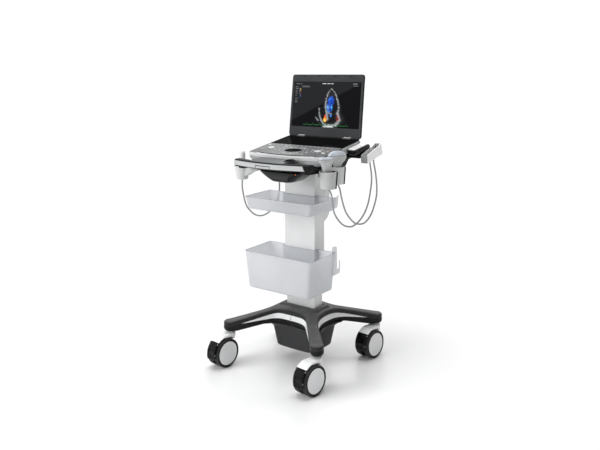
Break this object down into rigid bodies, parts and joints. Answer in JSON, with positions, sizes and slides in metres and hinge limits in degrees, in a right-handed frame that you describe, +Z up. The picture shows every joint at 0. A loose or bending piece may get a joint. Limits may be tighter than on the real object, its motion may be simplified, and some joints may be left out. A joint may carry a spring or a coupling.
{
  "type": "ultrasound machine",
  "caption": "Trolley-mounted laptop ultrasound machine: height-adjustable column on a braked caster base, two bins, push handle, probe cups, cabled probes and a hinged screen.",
  "frame": {"origin": "centre of the footprint box on the floor", "axes": "+Z up, the operator's side and handle face -Y, the probe cups with the two wide probes are on +X"},
  "size_m": [0.5174, 0.5534, 1.147],
  "materials": {
    "white_plastic": "satin moulded white plastic",
    "dark_plastic": "satin dark grey plastic",
    "black_gloss": "gloss black plastic",
    "black_plastic": "fine textured black plastic",
    "tyre_rubber": "non-marking rubber tread",
    "silver_paint": "satin silver paint",
    "silver_plastic": "satin silver-grey plastic",
    "steel": "brushed",
    "frosted_plastic": "frosted translucent plastic",
    "cable_grey": "smooth grey cable jacket",
    "probe_grey": "satin light grey plastic",
    "screen_glass": "gloss black glass front",
    "charcoal_plastic": "fine textured charcoal plastic",
    "white_key": "gloss white key cap"
  },
  "bodies": {
    "root": {"base_frame": "dark_plastic", "base_band": "silver_paint", "base_cover": "dark_plastic", "base_power_housing": "dark_plastic", "column_inner": "white_plastic", "gas_spring_cylinder": "steel", "caster_front_left_stem": "steel", "caster_front_right_stem": "steel", "caster_rear_left_stem": "steel", "caster_rear_right_stem": "steel"},
    "carriage": {"column_outer": "white_plastic", "column_glide_ring": "black_plastic", "gas_spring_rod": "steel", "rear_service_cover": "white_plastic", "lower_bin": "frosted_plastic", "upper_tray": "frosted_plastic", "dock_plate": "black_plastic", "dock_lower_housing": "black_gloss", "handle_grip": "black_plastic", "handle_fascia": "silver_paint", "left_probe_cup": "white_plastic", "right_accessory_rail": "black_plastic", "right_probe_cup_front": "white_plastic", "right_probe_cup_rear": "white_plastic", "cable_hanger": "white_plastic", "probe_connector": "probe_grey", "probe_left_cable": "cable_grey", "probe_front_cable": "cable_grey", "probe_rear_cable": "cable_grey", "scanner_base_shell": "silver_plastic", "key_panel": "silver_plastic", "touch_glass": "screen_glass", "trackpad": "black_plastic"},
    "lid": {"lid_shell": "charcoal_plastic", "lid_screen": "screen_glass", "lid_hinge_shaft": "steel"},
    "height_release_paddle": {"height_release_paddle": "silver_paint"},
    "toggle_left": {"toggle_left": "white_key"},
    "toggle_right": {"toggle_right": "white_key"},
    "freeze_key": {"freeze_key": "white_key"},
    "power_button": {"power_button": "white_key"},
    "probe_left": {"probe_left": "white_plastic"},
    "probe_front": {"probe_front": "probe_grey"},
    "probe_rear": {"probe_rear": "probe_grey"},
    "caster_front_left": {"caster_front_left_housing": "white_plastic"},
    "caster_front_left_wheel_left": {"caster_front_left_wheel_left": "tyre_rubber"},
    "caster_front_left_wheel_right": {"caster_front_left_wheel_right": "tyre_rubber"},
    "caster_front_left_brake_pedal": {"caster_front_left_brake_pedal": "black_gloss"},
    "caster_front_right": {"caster_front_right_housing": "white_plastic"},
    "caster_front_right_wheel_left": {"caster_front_right_wheel_left": "tyre_rubber"},
    "caster_front_right_wheel_right": {"caster_front_right_wheel_right": "tyre_rubber"},
    "caster_front_right_brake_pedal": {"caster_front_right_brake_pedal": "black_gloss"},
    "caster_rear_left": {"caster_rear_left_housing": "white_plastic"},
    "caster_rear_left_wheel_left": {"caster_rear_left_wheel_left": "tyre_rubber"},
    "caster_rear_left_wheel_right": {"caster_rear_left_wheel_right": "tyre_rubber"},
    "caster_rear_left_brake_pedal": {"caster_rear_left_brake_pedal": "black_gloss"},
    "caster_rear_right": {"caster_rear_right_housing": "white_plastic"},
    "caster_rear_right_wheel_left": {"caster_rear_right_wheel_left": "tyre_rubber"},
    "caster_rear_right_wheel_right": {"caster_rear_right_wheel_right": "tyre_rubber"},
    "caster_rear_right_brake_pedal": {"caster_rear_right_brake_pedal": "black_gloss"}
  },
  "joints": [
    {"name": "column_lift", "type": "slide", "parent": "root", "child": "carriage", "axis": [0, 0, 1], "range_m": [-0.06, 0.14]},
    {"name": "lid_hinge", "type": "hinge", "parent": "carriage", "child": "lid", "pos_m": [-0.00533, 0.17685, 0.8828], "axis": [1, 0, 0], "range_deg": [-30, 104]},
    {"name": "caster_front_left_swivel", "type": "hinge", "parent": "root", "child": "caster_front_left", "pos_m": [-0.21533, -0.16985, 0.1172], "axis": [0, 0, 1], "continuous": true},
    {"name": "caster_front_left_wheel_left_spin", "type": "hinge", "parent": "caster_front_left", "child": "caster_front_left_wheel_left", "pos_m": [-0.2408, -0.20702, 0.055], "axis": [0.9925, -0.1219, 0], "continuous": true},
    {"name": "caster_front_left_wheel_right_spin", "type": "hinge", "parent": "caster_front_left", "child": "caster_front_left_wheel_right", "pos_m": [-0.19961, -0.21208, 0.055], "axis": [0.9925, -0.1219, 0], "continuous": true},
    {"name": "caster_front_left_brake", "type": "hinge", "parent": "caster_front_left", "child": "caster_front_left_brake_pedal", "pos_m": [-0.22573, -0.25456, 0.09728], "axis": [-0.9925, 0.1219, 0], "range_deg": [0, 20]},
    {"name": "caster_front_right_swivel", "type": "hinge", "parent": "root", "child": "caster_front_right", "pos_m": [0.20467, -0.16985, 0.1172], "axis": [0, 0, 1], "continuous": true},
    {"name": "caster_front_right_wheel_left_spin", "type": "hinge", "parent": "caster_front_right", "child": "caster_front_right_wheel_left", "pos_m": [0.1792, -0.20702, 0.055], "axis": [0.9925, -0.1219, 0], "continuous": true},
    {"name": "caster_front_right_wheel_right_spin", "type": "hinge", "parent": "caster_front_right", "child": "caster_front_right_wheel_right", "pos_m": [0.22039, -0.21208, 0.055], "axis": [0.9925, -0.1219, 0], "continuous": true},
    {"name": "caster_front_right_brake", "type": "hinge", "parent": "caster_front_right", "child": "caster_front_right_brake_pedal", "pos_m": [0.19427, -0.25456, 0.09728], "axis": [-0.9925, 0.1219, 0], "range_deg": [0, 20]},
    {"name": "caster_rear_left_swivel", "type": "hinge", "parent": "root", "child": "caster_rear_left", "pos_m": [-0.21533, 0.25015, 0.1172], "axis": [0, 0, 1], "continuous": true},
    {"name": "caster_rear_left_wheel_left_spin", "type": "hinge", "parent": "caster_rear_left", "child": "caster_rear_left_wheel_left", "pos_m": [-0.2408, 0.21298, 0.055], "axis": [0.9925, -0.1219, 0], "continuous": true},
    {"name": "caster_rear_left_wheel_right_spin", "type": "hinge", "parent": "caster_rear_left", "child": "caster_rear_left_wheel_right", "pos_m": [-0.19961, 0.20792, 0.055], "axis": [0.9925, -0.1219, 0], "continuous": true},
    {"name": "caster_rear_left_brake", "type": "hinge", "parent": "caster_rear_left", "child": "caster_rear_left_brake_pedal", "pos_m": [-0.22573, 0.16544, 0.09728], "axis": [-0.9925, 0.1219, 0], "range_deg": [0, 20]},
    {"name": "caster_rear_right_swivel", "type": "hinge", "parent": "root", "child": "caster_rear_right", "pos_m": [0.20467, 0.25015, 0.1172], "axis": [0, 0, 1], "continuous": true},
    {"name": "caster_rear_right_wheel_left_spin", "type": "hinge", "parent": "caster_rear_right", "child": "caster_rear_right_wheel_left", "pos_m": [0.1792, 0.21298, 0.055], "axis": [0.9925, -0.1219, 0], "continuous": true},
    {"name": "caster_rear_right_wheel_right_spin", "type": "hinge", "parent": "caster_rear_right", "child": "caster_rear_right_wheel_right", "pos_m": [0.22039, 0.20792, 0.055], "axis": [0.9925, -0.1219, 0], "continuous": true},
    {"name": "caster_rear_right_brake", "type": "hinge", "parent": "caster_rear_right", "child": "caster_rear_right_brake_pedal", "pos_m": [0.19427, 0.16544, 0.09728], "axis": [-0.9925, 0.1219, 0], "range_deg": [0, 20]},
    {"name": "height_release", "type": "slide", "parent": "carriage", "child": "height_release_paddle", "axis": [0, 1, 0], "range_m": [0, 0.004], "stiffness_N_per_m": 800},
    {"name": "toggle_left_press", "type": "slide", "parent": "carriage", "child": "toggle_left", "axis": [0, -0.1702, 0.9854], "range_m": [-0.0015, 0], "stiffness_N_per_m": 500},
    {"name": "toggle_right_press", "type": "slide", "parent": "carriage", "child": "toggle_right", "axis": [0, -0.1702, 0.9854], "range_m": [-0.0015, 0], "stiffness_N_per_m": 500},
    {"name": "freeze_key_press", "type": "slide", "parent": "carriage", "child": "freeze_key", "axis": [0, -0.1702, 0.9854], "range_m": [-0.0015, 0], "stiffness_N_per_m": 500},
    {"name": "power_button_press", "type": "slide", "parent": "carriage", "child": "power_button", "axis": [0, -0.1702, 0.9854], "range_m": [-0.0012, 0], "stiffness_N_per_m": 500},
    {"name": "probe_left_lift", "type": "slide", "parent": "carriage", "child": "probe_left", "axis": [0, 0, 1], "range_m": [0, 0.1]},
    {"name": "probe_front_lift", "type": "slide", "parent": "carriage", "child": "probe_front", "axis": [0, 0, 1], "range_m": [0, 0.12]},
    {"name": "probe_rear_lift", "type": "slide", "parent": "carriage", "child": "probe_rear", "axis": [0, 0, 1], "range_m": [0, 0.12]}
  ]
}
